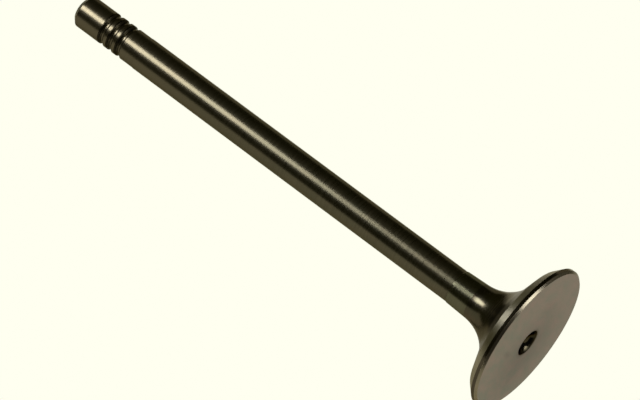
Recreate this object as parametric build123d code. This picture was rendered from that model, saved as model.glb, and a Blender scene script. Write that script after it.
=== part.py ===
from build123d import *
from math import cos, radians, sin, sqrt, tan
import os

# Engine valve, forged and turned as one piece. Millimetres.
# It stands on the flat face of its head: the origin is the centre of that face, and +Z runs up the stem.
# The half outline is drawn once, from the stem's axis outwards, and is turned round that axis.

# Whole valve
overall_length = 113.8          # combustion face to tip face
head_diameter = 31.0

# Stem, from the neck up
stem_diameter = 7.0             # ground length that slides in the guide
guide_start = 17.4              # height of the step where the ground length begins
step_height = 0.15              # the small cone that joins the neck to the ground length
keeper_end_diameter = 6.9       # the end that carries the keepers is a little slimmer
keeper_end_length = 15.9        # from the tip down to where the slimmer end begins

# Tip
tip_chamfer = 0.9
tip_chamfer_angle = 45.0        # between the chamfer and the stem's axis
tip_corner_radius = 0.25        # both corners of the chamfer are eased

# Keeper grooves, each a round-bottomed ring
groove_count = 3
groove_pitch = 2.2
groove_radius = 0.65
groove_depth = 0.45
first_groove_from_tip = 7.6
groove_edge_radius = 0.1

# Neck, which widens down the stem and then sweeps out into the head
neck_diameter = 7.2             # just under the step
neck_taper = 2.6                # degrees between the neck's side and the axis
tulip_radius = 9.2              # the sweep from the neck into the back of the head
back_angle = 24.0               # degrees between the back of the head and the face

# Head
seat_angle = 45.0               # degrees between the seat and the face
seat_width = 2.3                # measured along the cone
margin_height = 0.7             # the straight band under the seat
face_chamfer = 0.45             # between the margin and the face

# Hollow in the middle of the face
recess_diameter = 5.4
recess_depth = 1.3
recess_lip_radius = 0.35

# Radii and heights that follow from the sizes above
stem_radius = stem_diameter / 2
keeper_radius = keeper_end_diameter / 2
neck_radius = neck_diameter / 2
head_radius = head_diameter / 2
keeper_end_start = overall_length - keeper_end_length
keeper_step_height = stem_radius - keeper_radius
tip_flat_radius = keeper_radius - tip_chamfer * tan(radians(tip_chamfer_angle))
margin_top = face_chamfer + margin_height
seat_top = margin_top + seat_width * sin(radians(seat_angle))
seat_top_radius = head_radius - seat_width * cos(radians(seat_angle))
recess_radius = recess_diameter / 2


def neck_corner():
    """Where the neck's side would meet the back of the head, before the sweep rounds it."""
    neck_slope = tan(radians(neck_taper))
    back_slope = tan(radians(back_angle))
    height_on_axis = seat_top + seat_top_radius * back_slope
    radius = (neck_radius + (guide_start - height_on_axis) * neck_slope) / (1 - back_slope * neck_slope)
    return (radius, height_on_axis - radius * back_slope)


def head_outline():
    """Corners from the middle of the face out to the rim, over the seat and in to the neck."""
    return [
        (0, 0),
        (head_radius - face_chamfer, 0),
        (head_radius, face_chamfer),
        (head_radius, margin_top),
        (seat_top_radius, seat_top),
        neck_corner(),
    ]


def stem_outline():
    """Corners from the step above the neck up to the tip."""
    return [
        (neck_radius, guide_start),
        (stem_radius, guide_start + step_height),
        (stem_radius, keeper_end_start - keeper_step_height),
        (keeper_radius, keeper_end_start),
        (keeper_radius, overall_length - tip_chamfer),
        (tip_flat_radius, overall_length),
        (0, overall_length),
    ]


def rounded(outline, corner, radius):
    """The outline with the one corner that lies at the given place rounded."""
    vertex = outline.vertices().sort_by_distance(Vector(*corner))[0]
    return fillet(vertex, radius)


def groove_heights():
    """Heights of the groove centres, from the tip down."""
    first = overall_length - first_groove_from_tip
    return [first - number * groove_pitch for number in range(groove_count)]


def with_keeper_grooves(outline):
    """Cuts a circle into the side for each groove and eases the two edges that it leaves."""
    centre_radius = keeper_radius - groove_depth + groove_radius
    half_mouth = sqrt(groove_radius**2 - (groove_radius - groove_depth) ** 2)
    for height in groove_heights():
        outline -= Pos(centre_radius, height) * Circle(groove_radius)
        for edge_height in (height - half_mouth, height + half_mouth):
            outline = rounded(outline, (keeper_radius, edge_height), groove_edge_radius)
    return outline


def with_face_recess(outline):
    """Hollows the face with a ball-shaped cup, and rolls its lip over into the flat."""
    cup_radius = (recess_radius**2 + recess_depth**2) / (2 * recess_depth)
    outline -= Pos(0, recess_depth - cup_radius) * Circle(cup_radius)
    return rounded(outline, (recess_radius, 0), recess_lip_radius)


def with_rounded_corners(outline):
    """Adds the sweep behind the head and eases the corners of the tip."""
    outline = rounded(outline, neck_corner(), tulip_radius)
    for corner in ((keeper_radius, overall_length - tip_chamfer), (tip_flat_radius, overall_length)):
        outline = rounded(outline, corner, tip_corner_radius)
    return outline


def valve():
    """The whole valve: one half outline, turned once round the stem's axis."""
    outline = make_face(Polyline(*head_outline(), *stem_outline(), close=True))
    outline = with_rounded_corners(outline)
    outline = with_keeper_grooves(outline)
    outline = with_face_recess(outline)
    return revolve(Plane.XZ * outline, axis=Axis.Z)


os.makedirs("parts", exist_ok=True)
body = valve()
body.label = "valve"
export_step(body, "parts/valve.step")
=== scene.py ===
# %% [markdown]
# This lesson dresses one engine valve, a poppet valve that was forged and turned from a single bar of
# steel. The valve has no seams and no loose pieces, so everything rests on two things: one smooth turned
# skin, and finishes that show which tool touched which zone. The model is loaded first as a fixed frame,
# in metres, so that the skin can take its sizes from it.

# %% Load the fixed frame
import bpy
import numpy as np
from math import cos, pi, radians, sin, tan
from mathutils import Matrix, Vector


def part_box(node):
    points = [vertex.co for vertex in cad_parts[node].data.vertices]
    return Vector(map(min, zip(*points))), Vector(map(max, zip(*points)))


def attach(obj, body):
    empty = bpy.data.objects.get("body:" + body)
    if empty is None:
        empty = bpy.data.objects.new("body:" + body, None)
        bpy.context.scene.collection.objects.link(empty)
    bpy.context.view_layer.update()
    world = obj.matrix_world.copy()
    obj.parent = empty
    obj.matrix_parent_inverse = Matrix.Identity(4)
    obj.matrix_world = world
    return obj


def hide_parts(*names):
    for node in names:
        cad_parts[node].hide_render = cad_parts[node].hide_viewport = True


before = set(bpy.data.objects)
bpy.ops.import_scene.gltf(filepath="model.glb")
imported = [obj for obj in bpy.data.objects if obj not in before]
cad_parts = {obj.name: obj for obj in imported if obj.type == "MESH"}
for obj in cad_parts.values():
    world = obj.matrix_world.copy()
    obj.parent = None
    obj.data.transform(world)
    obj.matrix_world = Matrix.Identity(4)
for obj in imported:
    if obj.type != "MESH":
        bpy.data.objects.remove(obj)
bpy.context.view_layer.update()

# %% [markdown]
# The valve stands on the flat face of its head with its stem straight up. The picture looks at that face
# from below, so the camera stands under the horizon and is rolled over: the stem runs up to the left and
# the head sits low on the right. A long lens keeps the stem's two sides almost parallel, as they are on
# a small thing photographed from nearly a metre away. The camera is made first, because every later
# choice is judged through it.

# %% Camera
mm = 0.001
picture_width = 640
focal_length_in_pixels = 4330.6
sensor_width = 36.0
camera_distance = 830.0 * mm
camera_elevation = radians(-20.14)
camera_roll = radians(53.35)
aim = Vector((-2.3 * mm, 0.0, 50.2 * mm))


def make_camera():
    """Looks along +Y and up at the aim point, then turns about its own line of sight.

    In words: the sight line is (0, cos, sin) of the upward angle. Level right is +X, and level up is
    the cross product of level right and the sight line. The roll turns that pair of directions."""
    sight = Vector((0.0, cos(-camera_elevation), sin(-camera_elevation)))
    level_right = Vector((1.0, 0.0, 0.0))
    level_up = level_right.cross(sight)
    right = level_right * cos(camera_roll) - level_up * sin(camera_roll)
    up = right.cross(sight)
    data = bpy.data.cameras.new("photo_camera")
    data.sensor_width = sensor_width
    data.lens = focal_length_in_pixels * sensor_width / picture_width
    data.clip_start = 0.01
    data.clip_end = 20.0
    camera = bpy.data.objects.new("photo_camera", data)
    turned = Matrix((right, up, -sight)).transposed()
    camera.matrix_world = Matrix.Translation(aim - sight * camera_distance) @ turned.to_4x4()
    bpy.context.scene.collection.objects.link(camera)
    bpy.context.scene.camera = camera
    return camera


camera = make_camera()
print("lens in mm:", round(camera.data.lens, 1), "camera at:", tuple(camera.matrix_world.translation))

# %% [markdown]
# A valve is a turned part, so its whole shape is one outline spun about the stem. The outline has long
# straight runs joined by small arcs: a lathe leaves no perfectly sharp corner, and those arcs catch the
# thin bright lines that make steel look real. This function walks from corner to corner and rounds each
# one. It could also be drawn as a curve with a bevel, but a formula keeps every radius exact.

# %% Outline with rounded corners
arc_step = radians(6)


def rounded_outline(corners):
    """Points (radius, height) of an outline, with the number of the run that each point lies on.

    corners holds (radius, height, rounding, spacing) for each corner. In words: an arc touches both
    sides of its corner at rounding / tan(half angle) from it. Its centre lies on the line that halves
    the angle, at rounding / sin(half angle). A point of the arc is the centre plus a blend of the two
    touching directions, each weighted by the sine of its share of the turn."""
    places = np.array([corner[:2] for corner in corners])
    points = [places[:1]]
    runs = [np.zeros(1, int)]
    last = places[0]
    for number in range(1, len(corners)):
        corner = places[number]
        rounding, spacing = corners[number][2:]
        arc = corner[None, :]
        if rounding > 0:
            back = (places[number - 1] - corner) / np.linalg.norm(places[number - 1] - corner)
            onward = (places[number + 1] - corner) / np.linalg.norm(places[number + 1] - corner)
            half = np.arccos(np.clip(back @ onward, -1, 1)) / 2
            middle = (back + onward) / np.linalg.norm(back + onward)
            centre = corner + middle * rounding / np.sin(half)
            start = corner + back * rounding / np.tan(half) - centre
            end = corner + onward * rounding / np.tan(half) - centre
            turn = pi - 2 * half
            share = np.linspace(0, 1, 3 + int(turn / arc_step))[:, None]
            arc = centre + (np.sin((1 - share) * turn) * start + np.sin(share * turn) * end) / np.sin(turn)
        steps = max(1, int(np.ceil(np.linalg.norm(arc[0] - last) / spacing)))
        share = np.linspace(0, 1, steps + 1)[1:-1, None]
        straight = last + (arc[0] - last) * share
        points += [straight, arc]
        runs.append(np.full(len(straight) + len(arc), number))
        last = arc[-1]
    return np.concatenate(points), np.concatenate(runs)


print("largest turn between two points of an arc, in degrees:", round(arc_step / radians(1), 1))

# %% [markdown]
# The sizes below are the valve's own. The head's radius and the whole length are read from the frame, so
# that the skin can never leave it. The tool edges, a tenth of a millimetre at most, are the only thing
# that the outline adds: they are too small to matter for fit, and they are what glints.

# %% Sizes of the valve
low_corner, high_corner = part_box("valve")
overall_length = high_corner.z - low_corner.z
head_radius = high_corner.x
stem_radius = 3.5 * mm
keeper_radius = 3.45 * mm
keeper_end_start = overall_length - 15.9 * mm
keeper_cone = 0.05 * mm
step_start = 17.4 * mm
step_height = 0.15 * mm
neck_radius = 3.6 * mm
neck_taper = radians(2.6)
sweep_radius = 9.2 * mm
back_angle = radians(24.0)
seat_angle = radians(45.0)
seat_width = 2.3 * mm
face_chamfer = 0.45 * mm
margin_height = 0.7 * mm
tip_chamfer = 0.9 * mm
tip_rounding = 0.25 * mm
tool_edge = 0.06 * mm
step_edge = 0.1 * mm
keeper_edge = 0.03 * mm
margin_top = face_chamfer + margin_height
seat_top = margin_top + seat_width * sin(seat_angle)
seat_top_radius = head_radius - seat_width * cos(seat_angle)
print("length in mm:", round(overall_length / mm, 2), "head radius in mm:", round(head_radius / mm, 2))

# %% [markdown]
# Behind the head the back and the neck are two straight sides that would meet in a sharp inner corner.
# The forging die gives that corner a wide sweep instead, which lets gas flow past. The corner's place
# follows from the two slopes, so it is worked out and not measured.

# %% Corners of the outline


def neck_corner():
    """Where the side of the neck would meet the back of the head. In words: both are straight lines, so
    the radius is the one at which their two heights agree."""
    height_on_axis = seat_top + seat_top_radius * tan(back_angle)
    along = neck_radius + (step_start - height_on_axis) * tan(neck_taper)
    radius = along / (1 - tan(back_angle) * tan(neck_taper))
    return radius, height_on_axis - radius * tan(back_angle)


cup_radius = 2.7 * mm
cup_depth = 1.3 * mm
cup_lip = 0.3 * mm
groove_radius = 0.65 * mm
groove_depth = 0.45 * mm
groove_pitch = 2.2 * mm
first_groove = overall_length - 7.6 * mm
groove_edge = 0.05 * mm
groove_room = 1.3 * mm
groove_heights = first_groove - groove_pitch * np.arange(3)
grooved_from = groove_heights[-1] - groove_room
grooved_to = groove_heights[0] + groove_room

corners = [
    (0.0, 0.0, 0.0, 0.0),
    (head_radius - face_chamfer, 0.0, tool_edge, 0.2 * mm),
    (head_radius, face_chamfer, tool_edge, 0.12 * mm),
    (head_radius, margin_top, tool_edge, 0.12 * mm),
    (seat_top_radius, seat_top, tool_edge, 0.25 * mm),
    (*neck_corner(), sweep_radius, 0.4 * mm),
    (neck_radius, step_start, step_edge, 0.5 * mm),
    (stem_radius, step_start + step_height, step_edge, 0.1 * mm),
    (stem_radius, keeper_end_start - keeper_cone, keeper_edge, 1.0 * mm),
    (keeper_radius, keeper_end_start, keeper_edge, 0.1 * mm),
    (keeper_radius, grooved_from, 0.0, 0.5 * mm),
    (keeper_radius, grooved_to, 0.0, 0.055 * mm),
    (keeper_radius, overall_length - tip_chamfer, tip_rounding, 0.5 * mm),
    (keeper_radius - tip_chamfer, overall_length, tip_rounding, 0.2 * mm),
    (0.0, overall_length, 0.0, 0.4 * mm),
]
face_run = 1
sweep_run = 5
grooved_run = 11
outline, run = rounded_outline(corners)
print("points along the outline:", len(outline))

# %% [markdown]
# Three ring grooves near the tip hold the keepers, the two little half collars that lock the spring's
# cap to the stem. A form tool with a round nose cuts them, so each is part of a circle. In the middle of
# the face the forging leaves a small ball-shaped cup. Both are hollows taken out of the outline with a
# soft minimum or maximum, which rounds the edge where the hollow starts, as a deburring cloth would.

# %% Keeper grooves and the cup in the face


def soft_minimum(first, second, blend):
    """The smaller of two curves, with the crossing rounded. In words: within one blend of each other,
    the result dips below both by the square of what is left of the blend, over four blends."""
    overlap = np.maximum(blend - np.abs(first - second), 0)
    return np.minimum(first, second) - overlap**2 / (4 * blend)


def cut_grooves(points):
    """Lowers the radius to a circle round each groove. In words: the circle's near side lies at its
    centre's radius less the root of groove radius squared less the height from the centre squared."""
    for height in groove_heights:
        centre = keeper_radius - groove_depth + groove_radius
        reach = groove_radius**2 - (points[:, 1] - height) ** 2
        circle = np.where(reach > 0, centre - np.sqrt(np.maximum(reach, 0)), 1.0)
        points[:, 0] = soft_minimum(points[:, 0], circle, groove_edge)
    return points


def press_cup(points):
    """Lifts the face into a ball-shaped cup. In words: the ball's height over the face is the root of
    ball radius squared less radius squared, less what the ball's centre lies under the face."""
    ball = (cup_radius**2 + cup_depth**2) / (2 * cup_depth)
    height = cup_depth - ball + np.sqrt(np.maximum(ball**2 - points[:, 0] ** 2, 0))
    points[:, 1] = -soft_minimum(-points[:, 1], -height, cup_lip)
    return points


outline[run == grooved_run] = cut_grooves(outline[run == grooved_run])
on_face = (run <= face_run) & (outline[:, 0] < 2 * cup_radius)
outline[on_face] = press_cup(outline[on_face])
groove_floor = outline[run == grooved_run, 0].min()
print("groove floor radius in mm:", round(groove_floor / mm, 3), "cup in mm:", round(outline[0, 1] / mm, 3))

# %% [markdown]
# Spinning the outline gives the skin. Each point of the outline becomes a ring, and rings are joined by
# four-sided faces. The two ends of the outline lie on the axis, so there the ring is a single point with
# a fan of triangles: that closes the skin with no hole and no doubled point. A modifier could spin it
# too, but here the rings are whole arrays, which is quick and exact.

# %% Spin the outline into a skin
segments = 192


def spin(name, points):
    """A closed skin from an outline that starts and ends on the axis.

    In words: point (radius, height) goes to (radius times sine, minus radius times cosine, height) of
    each angle. The first and last points stay single. The map called unrolled holds the share of the
    turn across, and the distance walked along the outline, in metres, upwards."""
    angle = np.arange(segments) * 2 * pi / segments
    radius = points[1:-1, 0][:, None]
    height = np.broadcast_to(points[1:-1, 1][:, None], (len(points) - 2, segments))
    rings = np.stack([radius * np.sin(angle), -radius * np.cos(angle), height], axis=-1)
    vertices = np.concatenate([[[0, 0, points[0, 1]]], rings.reshape(-1, 3), [[0, 0, points[-1, 1]]]])
    row = 1 + np.arange(len(points) - 2)[:, None] * segments
    here = np.arange(segments)
    after = (here + 1) % segments
    quads = np.stack([row[:-1] + here, row[:-1] + after, row[1:] + after, row[1:] + here], axis=-1)
    first = np.stack([np.zeros(segments, int), row[0] + after, row[0] + here], axis=-1)
    last = np.stack([np.full(segments, len(vertices) - 1), row[-1] + here, row[-1] + after], axis=-1)
    faces = first.tolist() + quads.reshape(-1, 4).tolist() + last.tolist()
    mesh = bpy.data.meshes.new(name)
    mesh.from_pydata(vertices.tolist(), [], faces)
    walked = np.concatenate([[0], np.cumsum(np.linalg.norm(np.diff(points, axis=0), axis=1))])
    share = here / segments
    step = 1 / segments
    low = np.broadcast_to(walked[1:-2][:, None], (len(points) - 3, segments))
    high = np.broadcast_to(walked[2:-1][:, None], (len(points) - 3, segments))
    left = np.broadcast_to(share, low.shape)
    right = left + step
    around = [share + step / 2, share + step, share]
    first_map = np.stack(around, axis=-1), np.tile([walked[0], walked[1], walked[1]], (segments, 1))
    quad_map = np.stack([left, right, right, left], axis=-1), np.stack([low, low, high, high], axis=-1)
    around = [share + step / 2, share, share + step]
    last_map = np.stack(around, axis=-1), np.tile([walked[-1], walked[-2], walked[-2]], (segments, 1))
    unrolled = np.concatenate(
        [np.stack([u.ravel(), v.ravel()], axis=-1) for u, v in (first_map, quad_map, last_map)]
    )
    layer = mesh.uv_layers.new(name="unrolled")
    layer.data.foreach_set("uv", unrolled.ravel())
    mesh.polygons.foreach_set("use_smooth", np.ones(len(faces), bool))
    mesh.update()
    piece = bpy.data.objects.new(name, mesh)
    bpy.context.scene.collection.objects.link(piece)
    return piece


valve = spin("valve_body", outline)
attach(valve, "root")
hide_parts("valve")
print("triangles:", sum(len(face.vertices) - 2 for face in valve.data.polygons))

# %% [markdown]
# The cup was pressed by a punch before the head was turned, and a punch seldom lands quite in the middle.
# Here it sits under a millimetre to one side and to the back. The points near the middle of the face
# are pushed over, and the push dies away smoothly before the rim, so that the rim stays round. The push
# at a point is (1 - share squared) squared, where share is its distance from the axis over the reach.

# %% The cup a little off the middle
cup_shift = np.array([-0.7, 0.75]) * mm
shift_reach = 8.0 * mm
shift_top = 1.5 * mm

places = np.empty(len(valve.data.vertices) * 3)
valve.data.vertices.foreach_get("co", places)
places = places.reshape(-1, 3)
from_middle = np.hypot(places[:, 0], places[:, 1]) / shift_reach
push = np.clip(1 - from_middle**2, 0, 1) ** 2
places[:, :2] += np.where(places[:, 2:] < shift_top, push[:, None] * cup_shift, 0)
valve.data.vertices.foreach_set("co", places.ravel())
valve.data.update()
print("middle of the cup in mm:", [round(value / mm, 2) for value in places[0]])

# %% [markdown]
# Every finish below is the same steel, so a few helpers hold what they share. The first ones make a node,
# and a plain metal. A metal's colour in the shader is what it mirrors straight back. The edge tint is what
# it mirrors at a glancing angle, kept low and warm, because a thin film of oxide dulls this valve.

# %% Helpers: a node and a bare metal
film_tint = (0.60, 0.57, 0.48, 1.0)


def add(tree, kind, inputs=(), **settings):
    """A node with its sockets and settings filled in."""
    node = tree.nodes.new("ShaderNode" + kind)
    for name, value in settings.items():
        setattr(node, name, value)
    for name, value in dict(inputs).items():
        node.inputs[name].default_value = value
    return node


def bare_metal(name, edge_tint):
    """An empty metal, ready for its patterns to be linked in."""
    material = bpy.data.materials.new(name)
    material.use_nodes = True
    tree = material.node_tree
    tree.nodes.clear()
    shader = add(tree, "BsdfPrincipled", {"Metallic": 1.0, "Specular Tint": edge_tint})
    output = add(tree, "OutputMaterial")
    tree.links.new(shader.outputs["BSDF"], output.inputs["Surface"])
    return material, tree, shader


print("what bare steel mirrors at a glancing angle:", film_tint[:3])

# %% [markdown]
# Patterns are measured in millimetres, because that is how a machinist thinks of tool marks. There are two
# kinds. Patches are soft clouds in the steel's colour, from heat and oil, and they lie in the object's own
# space. Tool marks run round the axis on every zone, also on the flat face, where they are rings. For them
# the map made with the skin is used: its height is the distance walked along the outline.

# %% Helpers: patches and tool marks
patch_detail = 3.0
mark_detail = 4.0


def patches(tree, size):
    """Soft noise from 0 to 1, with patches of the given size in mm along X, Y and Z."""
    place = add(tree, "TexCoord")
    scaled = add(tree, "Mapping", {"Scale": [1 / (length * mm) for length in size]})
    noise = add(tree, "TexNoise", {"Scale": 1.0, "Detail": patch_detail, "Roughness": 0.55})
    tree.links.new(place.outputs["Object"], scaled.inputs["Vector"])
    tree.links.new(scaled.outputs["Vector"], noise.inputs["Vector"])
    return noise.outputs["Fac"]


def tool_marks(tree, width, length):
    """Noise from 0 to 1 drawn out round the axis: marks width wide and about length long, in mm.

    In words: the noise is read at (X over length, Y over length, distance along the outline over
    width). X and Y close on themselves round the axis, so the marks do too."""
    place = add(tree, "TexCoord")
    across = add(tree, "SeparateXYZ")
    unrolled = add(tree, "UVMap", uv_map="unrolled")
    walked = add(tree, "SeparateXYZ")
    together = add(tree, "CombineXYZ")
    scale = (1 / (length * mm), 1 / (length * mm), 1 / (width * mm))
    scaled = add(tree, "Mapping", {"Scale": scale})
    noise = add(tree, "TexNoise", {"Scale": 1.0, "Detail": mark_detail, "Roughness": 0.6})
    tree.links.new(place.outputs["Object"], across.inputs[0])
    tree.links.new(unrolled.outputs["UV"], walked.inputs[0])
    tree.links.new(across.outputs["X"], together.inputs["X"])
    tree.links.new(across.outputs["Y"], together.inputs["Y"])
    tree.links.new(walked.outputs["Y"], together.inputs["Z"])
    tree.links.new(together.outputs[0], scaled.inputs["Vector"])
    tree.links.new(scaled.outputs["Vector"], noise.inputs["Vector"])
    return noise.outputs["Fac"]


print("layers of detail in patches and in marks:", patch_detail, mark_detail)

# %% [markdown]
# A pattern by itself is only a number from 0 to 1. These helpers turn it into something seen: a change of
# colour, of roughness, or of height. Height is given in thousandths of a millimetre, as surface finish is
# on a drawing. Half of one is enough to bend the edge of a reflection.

# %% Helpers: what a pattern does
micron = 0.001 * mm


def stretched(tree, value, low, high, start=0.3, end=0.7):
    """The value between start and end, made to run from low to high."""
    ranged = add(tree, "MapRange", {"From Min": start, "From Max": end, "To Min": low, "To Max": high})
    tree.links.new(value, ranged.inputs["Value"])
    return ranged.outputs["Result"]


def mixed(tree, share, first, second):
    """A blend of two colours by share. Either colour may be the output of another node."""
    mix = add(tree, "Mix", data_type="RGBA")
    tree.links.new(share, mix.inputs[0])
    for socket, colour in ((mix.inputs[6], first), (mix.inputs[7], second)):
        if isinstance(colour, tuple):
            socket.default_value = (*colour, 1.0)
        else:
            tree.links.new(colour, socket)
    return mix.outputs[2]


def raised(tree, shader, value, height):
    """Raises the surface with the value, by up to height in microns."""
    bump = add(tree, "Bump", {"Strength": 1.0, "Distance": height * micron})
    tree.links.new(value, bump.inputs["Height"])
    tree.links.new(bump.outputs["Normal"], shader.inputs["Normal"])


def ramp(tree, axis, start, end, low=0.0, high=1.0):
    """Runs from low to high between two places in mm along one axis of the valve."""
    place = add(tree, "TexCoord")
    apart = add(tree, "SeparateXYZ")
    tree.links.new(place.outputs["Object"], apart.inputs[0])
    return stretched(tree, apart.outputs[axis], low, high, start * mm, end * mm)


print("a micron in metres:", micron)

# %% [markdown]
# Most zones share one recipe: slow patches between a cool and a warm colour of steel, fine tool marks that
# darken it a little, and the same marks in roughness and height. Each zone below is a short function with
# its own numbers, as each was cut or ground by its own tool.

# %% The shared recipe
cool_steel = (0.168, 0.160, 0.123)
warm_steel = (0.198, 0.174, 0.134)
dulling = 0.86


def marked_steel(name, colours, patch_size, mark_size, mark_height, roughness, edge_tint=film_tint):
    """Steel with colour patches and marks round the axis. Sizes in mm, the marks' height in microns."""
    material, tree, shader = bare_metal(name, edge_tint)
    marks = tool_marks(tree, *mark_size)
    slow = stretched(tree, patches(tree, patch_size), 0.0, 1.0)
    bright = mixed(tree, slow, *colours)
    dull = mixed(tree, slow, *[tuple(dulling * part for part in colour) for colour in colours])
    colour = mixed(tree, stretched(tree, marks, 0.0, 1.0), dull, bright)
    tree.links.new(colour, shader.inputs["Base Color"])
    tree.links.new(stretched(tree, marks, *roughness), shader.inputs["Roughness"])
    raised(tree, shader, marks, mark_height)
    return material, tree, shader, colour


print("cool steel:", cool_steel, "warm steel:", warm_steel)

# %% [markdown]
# The stem slides in the guide, so it is ground between two wheels while it spins. Its scratches run round
# it. Light spreads more across scratches than along them, so the streak down the stem is long and
# thin. Anisotropy does that, with its direction taken from the unrolled map and turned a quarter. Near
# the tip, which is hardened with heat, the steel is a little browner and rougher.

# %% Ground stem
quarter_turn = 0.25
heat_brown = (0.195, 0.170, 0.130)


def spread_across_marks(tree, shader, amount):
    """Spreads reflections across marks that run round the axis."""
    tangent = add(tree, "Tangent", direction_type="UV_MAP", uv_map="unrolled")
    tree.links.new(tangent.outputs["Tangent"], shader.inputs["Tangent"])
    shader.inputs["Anisotropic"].default_value = amount
    shader.inputs["Anisotropic Rotation"].default_value = quarter_turn


def rougher(tree, shader, amount):
    """Adds an amount to the roughness that the marks give."""
    total = add(tree, "Math", operation="ADD")
    tree.links.new(shader.inputs["Roughness"].links[0].from_socket, total.inputs[0])
    tree.links.new(amount, total.inputs[1])
    tree.links.new(total.outputs[0], shader.inputs["Roughness"])


def ground_stem():
    colours = cool_steel, warm_steel
    material, tree, shader, colour = marked_steel(
        "ground_stem", colours, (3.0, 3.0, 7.0), (0.35, 9.0), 0.4, (0.0, 0.05)
    )
    browner = mixed(tree, ramp(tree, "Z", 62.0, 104.0), colour, heat_brown)
    tree.links.new(browner, shader.inputs["Base Color"])
    rougher(tree, shader, ramp(tree, "Z", 50.0, 95.0, 0.262, 0.285))
    spread_across_marks(tree, shader, 0.6)
    return material


stem_finish = ground_stem()
print("made:", stem_finish.name)

# %% [markdown]
# The neck and its sweep are turned and not ground. The straight side of the neck looks much like the stem.
# Down the sweep hot gas has left a brown film that grows towards the head, and with it the steel gets
# rougher and mottled. The back of the head was turned at a faster feed and mirrors least clearly.

# %% Turned neck, sweep and back
thin_film_tint = (0.62, 0.59, 0.52, 1.0)
neck_tint = (0.54, 0.52, 0.43, 1.0)
film_brown = (0.125, 0.108, 0.082)


def turned_neck():
    colours = (0.205, 0.205, 0.153), (0.229, 0.220, 0.165)
    material, tree, shader = marked_steel(
        "turned_neck", colours, (3.0, 3.0, 4.0), (0.35, 14.0), 0.05, (0.235, 0.26), neck_tint
    )[:3]
    spread_across_marks(tree, shader, 0.6)
    return material


def turned_sweep():
    colours = (0.135, 0.129, 0.099), (0.171, 0.142, 0.110)
    material, tree, shader, colour = marked_steel(
        "turned_sweep", colours, (2.4, 2.4, 3.0), (0.4, 14.0), 0.15, (0.0, 0.03), thin_film_tint
    )
    filmed = mixed(tree, ramp(tree, "Z", 6.0, 10.5, 0.75, 0.0), colour, film_brown)
    tree.links.new(filmed, shader.inputs["Base Color"])
    rougher(tree, shader, ramp(tree, "Z", 6.5, 9.0, 0.28, 0.20))
    spread_across_marks(tree, shader, 0.1)
    return material


def turned_back():
    colours = (0.186, 0.172, 0.137), (0.226, 0.195, 0.156)
    return marked_steel(
        "turned_back", colours, (3.0, 3.0, 3.0), (0.45, 12.0), 1.0, (0.36, 0.44), thin_film_tint
    )[0]


neck_finish = turned_neck()
sweep_finish = turned_sweep()
back_finish = turned_back()
print("made:", neck_finish.name, sweep_finish.name, back_finish.name)

# %% [markdown]
# The seat is the 45 degree cone that seals against the head's port. It is ground last, through the film,
# so it is the brightest metal on the valve, and its marks spread light widely across. The margin below it
# and the small chamfer are finely turned, and smoother than the rest.

# %% Seat, margin and chamfer


def ground_seat():
    colours = (0.52, 0.49, 0.43), (0.63, 0.58, 0.51)
    material, tree, shader = marked_steel(
        "ground_seat", colours, (2.0, 2.0, 2.0), (0.25, 14.0), 0.5, (0.34, 0.38)
    )[:3]
    spread_across_marks(tree, shader, 0.9)
    return material


def turned_margin():
    colours = (0.140, 0.122, 0.101), (0.168, 0.141, 0.117)
    return marked_steel("turned_margin", colours, (2.5, 2.5, 2.5), (0.2, 14.0), 0.3, (0.17, 0.21))[0]


def turned_chamfer():
    colours = (0.164, 0.148, 0.124), (0.192, 0.165, 0.138)
    return marked_steel("turned_chamfer", colours, (3.0, 3.0, 3.0), (0.2, 14.0), 0.4, (0.24, 0.29))[0]


seat_finish = ground_seat()
margin_finish = turned_margin()
chamfer_finish = turned_chamfer()
print("made:", seat_finish.name, margin_finish.name, chamfer_finish.name)

# %% [markdown]
# The face is turned flat and then meets the fire. Besides its faint rings it has cloudy patches, greener
# and browner ones, with more brown towards one side. It also has a few dark smudges: a tight dark one
# round the cup's edge, a wide weak one past it, and small spots. A smudge is the distance from its middle
# in a space squeezed to its own shape. The cup was never turned, so it keeps black scale from the forge,
# and that scale ends softly on the cup's lip.

# %% Turned face with its cup
smudge_core = 0.2
smudge_border = 1.6
smudges = [
    ((-0.55, 0.55), (2.25, 2.25), 2.0),
    ((-2.6, 3.0), (8.0, 7.0), 0.42),
    ((-4.7, -5.5), (0.6, 1.5), 0.30),
    ((1.6, 3.4), (1.2, 2.2), 0.12),
    ((7.2, -1.5), (1.6, 2.4), 0.10),
    ((-8.6, 4.8), (1.4, 1.1), 0.12),
]
face_tint = (0.63, 0.61, 0.60, 1.0)
scale_tint = (0.25, 0.22, 0.17, 1.0)
scale_colour = (0.031, 0.027, 0.019)
soot_colour = (0.05, 0.04, 0.03)
face_brown = (0.245, 0.185, 0.154)


def smudge(tree, middle, size):
    """1 in the middle of a smudge, 0 outside it. Middle and size are (X, Y) in mm.

    In words: the root of (X less middle X, over size X) squared plus the same for Y, turned into a
    share that falls from 1 at the core to 0 at the border."""
    place = add(tree, "TexCoord")
    scale = (1 / (size[0] * mm), 1 / (size[1] * mm), 0.0)
    shift = (-middle[0] / size[0], -middle[1] / size[1], 0.0)
    squeezed = add(tree, "Mapping", {"Scale": scale, "Location": shift})
    length = add(tree, "VectorMath", operation="LENGTH")
    tree.links.new(place.outputs["Object"], squeezed.inputs["Vector"])
    tree.links.new(squeezed.outputs["Vector"], length.inputs[0])
    return stretched(tree, length.outputs["Value"], 1.0, 0.0, smudge_core, smudge_border)


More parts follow.
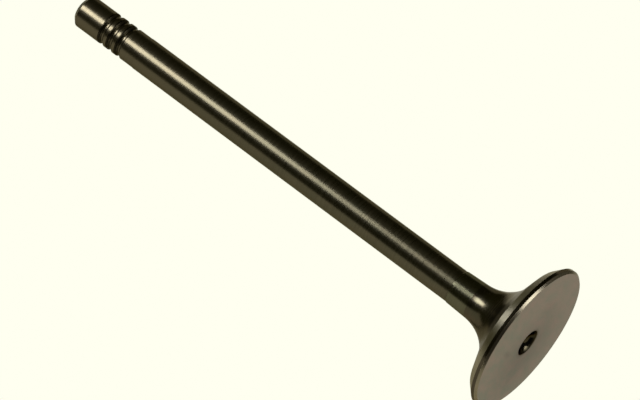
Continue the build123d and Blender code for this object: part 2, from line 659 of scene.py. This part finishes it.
def turned_face():
    colours = (0.160, 0.170, 0.124), (0.245, 0.181, 0.143)
    material, tree, shader, colour = marked_steel(
        "turned_face", colours, (2.6, 4.5, 5.0), (0.35, 10.0), 0.5, (0.28, 0.34), face_tint
    )
    colour = mixed(tree, ramp(tree, "X", -10.0, 16.0, 0.0, 0.4), colour, face_brown)
    for middle, size, strength in smudges:
        weak = add(tree, "Math", {1: strength}, operation="MULTIPLY")
        tree.links.new(smudge(tree, middle, size), weak.inputs[0])
        colour = mixed(tree, weak.outputs[0], colour, soot_colour)
    scale = ramp(tree, "Z", 0.0, 0.07)
    tree.links.new(mixed(tree, scale, colour, scale_colour), shader.inputs["Base Color"])
    tree.links.new(mixed(tree, scale, face_tint[:3], scale_tint[:3]), shader.inputs["Specular Tint"])
    return material


face_finish = turned_face()
print("made:", face_finish.name, "with smudges:", len(smudges))

# %% [markdown]
# Three zones are left. The cup's floor is smoother than the face, as scale is glassy. The upper half of
# each keeper groove is painted dark: painted shade, where that wall mirrors only the dark below it. The tip
# is ground flat, because the rocker pushes on it.

# %% Cup, grooves and tip
painted_shade_scale = (0.012, 0.011, 0.008)


def forge_scale():
    colours = scale_colour, (0.044, 0.038, 0.027)
    material, tree, shader, colour = marked_steel(
        "forge_scale", colours, (1.0, 1.0, 1.0), (0.4, 3.0), 0.6, (0.09, 0.14), scale_tint
    )
    # Painted shade: towards +X the scale is darkened further, standing in for the shade on that side of the
    # cup's wall.
    scale_with_painted_shade = mixed(tree, ramp(tree, "X", 0.2, 2.0), colour, painted_shade_scale)
    tree.links.new(scale_with_painted_shade, shader.inputs["Base Color"])
    return material


# Painted shade: this dark colour over the upper half of each groove stands for the shade there, where the
# wall mirrors only dark surroundings.
def painted_groove_shade():
    colours = (0.024, 0.021, 0.015), (0.036, 0.031, 0.022)
    return marked_steel("painted_groove_shade", colours, (2.0, 2.0, 2.0), (0.2, 5.0), 0.4, (0.28, 0.36))[0]


def ground_tip():
    colours = (0.62, 0.60, 0.52), (0.70, 0.67, 0.58)
    return marked_steel("ground_tip", colours, (2.0, 2.0, 2.0), (0.3, 2.0), 0.6, (0.40, 0.48))[0]


scale_finish = forge_scale()
groove_shade_finish = painted_groove_shade()
tip_finish = ground_tip()
print("made:", scale_finish.name, groove_shade_finish.name, tip_finish.name)

# %% [markdown]
# Each run of the outline now gets its finish. The runs were numbered when the outline was walked, so a
# zone's border lies exactly on its corner, as it does where one tool stops and the next starts. Three
# borders lie between corners: the scale starts a little way up the cup's wall, the back of the head ends
# at a radius on the sweep, and the painted groove shade is a band over the upper half of each groove.

# %% Giving each zone its finish
scale_from = 0.3 * mm
back_from = 8.2 * mm
groove_shade_from = 0.1 * mm
groove_shade_to = 0.9 * mm
finishes = {
    "scale": scale_finish,
    "face": face_finish,
    "chamfer": chamfer_finish,
    "margin": margin_finish,
    "seat": seat_finish,
    "back": back_finish,
    "sweep": sweep_finish,
    "neck": neck_finish,
    "stem": stem_finish,
    "groove_shade": groove_shade_finish,
    "tip": tip_finish,
}
zones = ["face"] * 2 + ["chamfer", "margin", "seat", "sweep", "neck"] + ["stem"] * 6 + ["tip"] * 2
number_of = {zone: number for number, zone in enumerate(finishes)}
ring_finish = np.array([number_of[zone] for zone in zones])[run]
ring_finish[(run <= face_run) & (outline[:, 1] > scale_from)] = number_of["scale"]
ring_finish[(run == sweep_run) & (outline[:, 0] > back_from)] = number_of["back"]
# Painted shade: the upper half of each groove gets the dark groove finish.
for height in groove_heights:
    above = outline[:, 1] - height
    ring_finish[(above > groove_shade_from) & (above < groove_shade_to)] = number_of["groove_shade"]
finish_numbers = np.repeat(ring_finish[1:], segments)
valve.data.polygons.foreach_set("material_index", finish_numbers.astype(np.int32))
for finish in finishes.values():
    valve.data.materials.append(finish)
print("faces in each zone:", dict(zip(finishes, np.bincount(finish_numbers).tolist())))

# %% [markdown]
# Bright metal has hardly any colour of its own: it shows its surroundings. So what stands round the valve
# makes half of its look. The first of these is the backdrop, the same warm white as in the picture. It is
# a world colour that the camera and the reflections see, and plain white light falls on the floor.

# %% Backdrop
cream = (1.0, 1.0, 0.871)
white = (1.0, 1.0, 1.0)


def make_studio():
    """A world that is cream where it is seen, straight or in a reflection, and white where it lights."""
    world = bpy.data.worlds.new("studio")
    world.use_nodes = True
    tree = world.node_tree
    tree.nodes.clear()
    path = add(tree, "LightPath")
    seen = path.outputs["Is Camera Ray"]
    for ray in ("Is Glossy Ray", "Is Transmission Ray"):
        either = add(tree, "Math", operation="MAXIMUM")
        tree.links.new(seen, either.inputs[0])
        tree.links.new(path.outputs[ray], either.inputs[1])
        seen = either.outputs[0]
    ambient = add(tree, "Background", {"Color": (*white, 1), "Strength": 1.0})
    backdrop = add(tree, "Background", {"Color": (*cream, 1), "Strength": 1.0})
    choice = add(tree, "MixShader")
    output = add(tree, "OutputWorld")
    tree.links.new(seen, choice.inputs[0])
    tree.links.new(ambient.outputs[0], choice.inputs[1])
    tree.links.new(backdrop.outputs[0], choice.inputs[2])
    tree.links.new(choice.outputs[0], output.inputs["Surface"])
    return world


bpy.context.scene.world = make_studio()
print("world:", bpy.context.scene.world.name)

# %% [markdown]
# The rest is built from cards, the way a photographer lights steel. A card is a piece of a ball or of a
# drum round the valve. Its place is given by its turn in degrees, where nought is the camera's side and
# the plus side is to the right of it, and by its rise in degrees on a ball or its height on a drum. The
# cards are seen in reflections only. They neither light the floor nor throw a shadow, so the floor keeps
# the soft shadow of the backdrop.

# %% Helpers: cards
card_points = 25


def glow(name, colour, strength):
    """A surface that gives off an even light."""
    material = bpy.data.materials.new(name)
    material.use_nodes = True
    tree = material.node_tree
    tree.nodes.clear()
    light = add(tree, "Emission", {"Color": (*colour, 1), "Strength": strength})
    output = add(tree, "OutputMaterial")
    tree.links.new(light.outputs[0], output.inputs["Surface"])
    return material


def card_from(name, points, colour, strength):
    """A card from a grid of points, seen only in reflections."""
    across, up = points.shape[:2]
    number = np.arange(across * up).reshape(across, up)
    faces = np.stack([number[:-1, :-1], number[1:, :-1], number[1:, 1:], number[:-1, 1:]], axis=-1)
    mesh = bpy.data.meshes.new(name)
    mesh.from_pydata(points.reshape(-1, 3).tolist(), [], faces.reshape(-1, 4).tolist())
    mesh.materials.append(glow(name, colour, strength))
    card = bpy.data.objects.new(name, mesh)
    bpy.context.scene.collection.objects.link(card)
    card.visible_camera = False
    card.visible_diffuse = False
    card.visible_shadow = False
    return card


def ball_card(name, turns, rises, distance, colour, strength):
    """A patch of a ball round the valve's foot. In words: (level times sine, minus level times cosine,
    height), where level and height are the distance times the cosine and the sine of the rise."""
    turn = np.radians(np.linspace(*turns, card_points))[:, None]
    rise = np.radians(np.linspace(*rises, card_points))[None, :]
    level = np.cos(rise) * distance
    height = np.sin(rise) * distance + 0 * turn
    points = np.stack([level * np.sin(turn), -level * np.cos(turn), height], axis=-1)
    return card_from(name, points, colour, strength)


def drum_card(name, turns, heights, distance, colour, strength):
    """A patch of an upright drum round the stem, between two turns in degrees and two heights. In
    words: (distance times sine of the turn, minus distance times cosine of the turn, height)."""
    turn = np.radians(np.linspace(*turns, card_points))[:, None]
    height = np.linspace(*heights, card_points)[None, :] + 0 * turn
    level = distance + 0 * height
    points = np.stack([level * np.sin(turn), -level * np.cos(turn), height], axis=-1)
    return card_from(name, points, colour, strength)


print("points along each side of a card:", card_points)

# %% [markdown]
# Dark cloths come first. They hang on the camera's side and overhead, and they turn most of the stem
# nearly black. Behind the valve they leave a window on the backdrop: the face of the head mirrors it.
# The low cloth is lighter, so that the steel is not lost when it is seen from above, and the one
# underneath is dark again.

# %% Dark cloths
night = (1.0, 0.94, 0.17)
warm = (1.0, 0.95, 0.66)
cloth_distance = 1.5

cloths = [
    ball_card("cloth_front", (-150, 154), (-12, 42), cloth_distance, night, 0.018),
    ball_card("cloth_top", (-140, 150), (42, 90), cloth_distance, night, 0.034),
    ball_card("cloth_top_back", (150, 220), (50, 90), cloth_distance, night, 0.034),
    ball_card("cloth_low", (-150, 150), (-40, -12), cloth_distance, warm, 0.24),
    ball_card("cloth_under", (-180, 180), (-90, -40), cloth_distance, warm, 0.05),
]
print("cloths:", [cloth.name for cloth in cloths])

# %% [markdown]
# The lit cards give the steel its streaks. The tall panel near the camera makes the long one, which
# fades down the stem as the panel's lower edge is passed. Dim cards on the left and one on the right lift
# those sides of the stem out of the dark. A panel far down on the right lights the chamfer. Three low
# panels and a low card draw streaks when the valve is seen from above, and the card low behind is what
# the cup mirrors.

# %% Lit cards
panel_distance = 0.267
card_distance = 0.9

cards = [
    drum_card("key_panel", (-4, 19.5), (0.174, 0.49), panel_distance, cream, 6.6),
    drum_card("key_shoulders", (-6, 21.5), (0.200, 0.26), panel_distance + mm, cream, 6.6),
    ball_card("left_card", (-130, -58), (-5, 62), card_distance, warm, 0.37),
    ball_card("left_back_card", (-172, -130), (-5, 30), card_distance, warm, 0.37),
    ball_card("left_top_card", (-180, -140), (30, 58), card_distance, warm, 0.42),
    drum_card("left_low_card", (-152, -88), (-0.085, -0.012), 0.07, warm, 1.0),
    ball_card("right_card", (114, 154), (5, 42), card_distance, warm, 0.30),
    ball_card("under_panel", (53, 98), (-70, -50), 0.3, cream, 7.8),
    ball_card("low_key_panel", (-4, 20), (-24, -3), card_distance, warm, 2.2),
    ball_card("low_right_panel", (28, 50), (-42, -18), card_distance, warm, 5.0),
    ball_card("low_left_panel", (-84, -66), (-32, -12), card_distance, warm, 3.0),
    ball_card("low_left_card", (-130, -60), (-30, -6), card_distance + 0.1, warm, 0.8),
    ball_card("cup_card", (168, 226), (-76, -42), card_distance, warm, 1.1),
]
print("lit cards:", [card.name for card in cards])

# %% [markdown]
# The floor is a pale disc in the backdrop's colour. Looked at from below the head it must not hide the
# valve, so only its upper side is paint, and its underside is clear. It is hidden from reflections, since
# the window behind the valve already stands for it there.

# %% Floor
floor_radius = 1.2
floor_sides = 96
floor_height = -0.2 * mm


def make_floor():
    """A disc just under the valve's face, painted on its upper side only."""
    material = bpy.data.materials.new("floor_paint")
    material.use_nodes = True
    tree = material.node_tree
    tree.nodes.clear()
    side = add(tree, "NewGeometry")
    paint = add(tree, "BsdfDiffuse", {"Color": (*cream, 1)})
    clear = add(tree, "BsdfTransparent")
    choice = add(tree, "MixShader")
    output = add(tree, "OutputMaterial")
    tree.links.new(side.outputs["Backfacing"], choice.inputs[0])
    tree.links.new(paint.outputs[0], choice.inputs[1])
    tree.links.new(clear.outputs[0], choice.inputs[2])
    tree.links.new(choice.outputs[0], output.inputs["Surface"])
    angle = np.arange(floor_sides) * 2 * pi / floor_sides
    level = np.full(floor_sides, floor_height)
    rim = np.stack([floor_radius * np.sin(angle), -floor_radius * np.cos(angle), level], axis=-1)
    mesh = bpy.data.meshes.new("floor")
    mesh.from_pydata(rim.tolist(), [], [list(range(floor_sides))])
    mesh.materials.append(material)
    disc = bpy.data.objects.new("floor", mesh)
    bpy.context.scene.collection.objects.link(disc)
    disc.visible_glossy = False
    disc.visible_diffuse = False
    disc.visible_shadow = False
    disc.visible_transmission = False
    return disc


floor = make_floor()
print("floor faces up:", floor.data.polygons[0].normal.z > 0)

# %% [markdown]
# Last, the picture is shown with plain colours, so that a card's brightness and the photograph's can be
# compared as numbers.

# %% Colours shown plainly, and the end
bpy.context.scene.view_settings.view_transform = "Standard"
